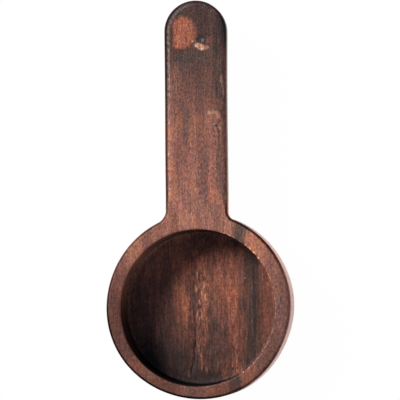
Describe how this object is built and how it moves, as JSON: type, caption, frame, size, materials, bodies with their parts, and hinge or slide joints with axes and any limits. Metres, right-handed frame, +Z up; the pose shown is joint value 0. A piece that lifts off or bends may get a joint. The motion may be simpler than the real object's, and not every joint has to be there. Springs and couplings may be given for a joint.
{
  "type": "measuring spoon",
  "caption": "One-tablespoon wooden scoop: a round flat-footed bowl with a straight round-tipped handle flush with its rim, carved from one block of dark hardwood.",
  "frame": {"origin": "centre of the flat foot under the bowl, on the surface that the scoop stands on", "axes": "+Z up out of the bowl's mouth, +Y from the bowl along the handle to its tip, +X to the right seen from above with the handle pointing away"},
  "size_m": [0.0466, 0.1, 0.018],
  "materials": {
    "oiled_hardwood": "sanded and oiled, satin"
  },
  "bodies": {
    "root": {"scoop": "oiled_hardwood"}
  },
  "joints": []
}
